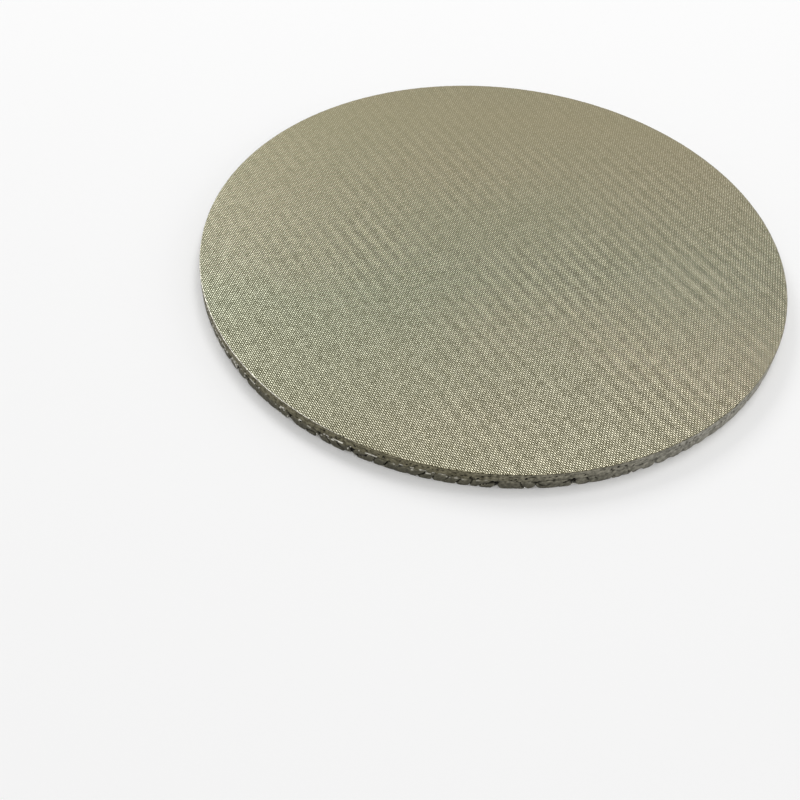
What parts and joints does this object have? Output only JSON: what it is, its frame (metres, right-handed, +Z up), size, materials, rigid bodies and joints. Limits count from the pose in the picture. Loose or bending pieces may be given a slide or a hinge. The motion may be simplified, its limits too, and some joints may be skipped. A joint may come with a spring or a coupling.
{
  "type": "sintered mesh filter plate",
  "caption": "Flat round filter plate of woven metal wire layers sintered into one, with a fine square mesh face and a coarse crimped wire mesh underside.",
  "frame": {"origin": "on the plate's axis, at the level of the lowest crests of the coarse wires", "axes": "+Z up through the plate towards its fine face; the warp wires run along X and the weft wires along Y"},
  "size_m": [0.086, 0.086, 0.0028],
  "materials": {
    "face_weave": "fine woven stainless wire, sintered, satin",
    "core_weave": "cut edge of bonded wire layers, matt and slightly pitted",
    "coarse_weave": "drawn stainless wire, bright, with rolled matt flats on the knuckles"
  },
  "bodies": {
    "root": {"protective_mesh": "face_weave", "filter_mesh": "core_weave", "spreader_mesh": "core_weave", "dutch_weave_mesh": "core_weave", "support_mesh": "coarse_weave"}
  },
  "joints": []
}
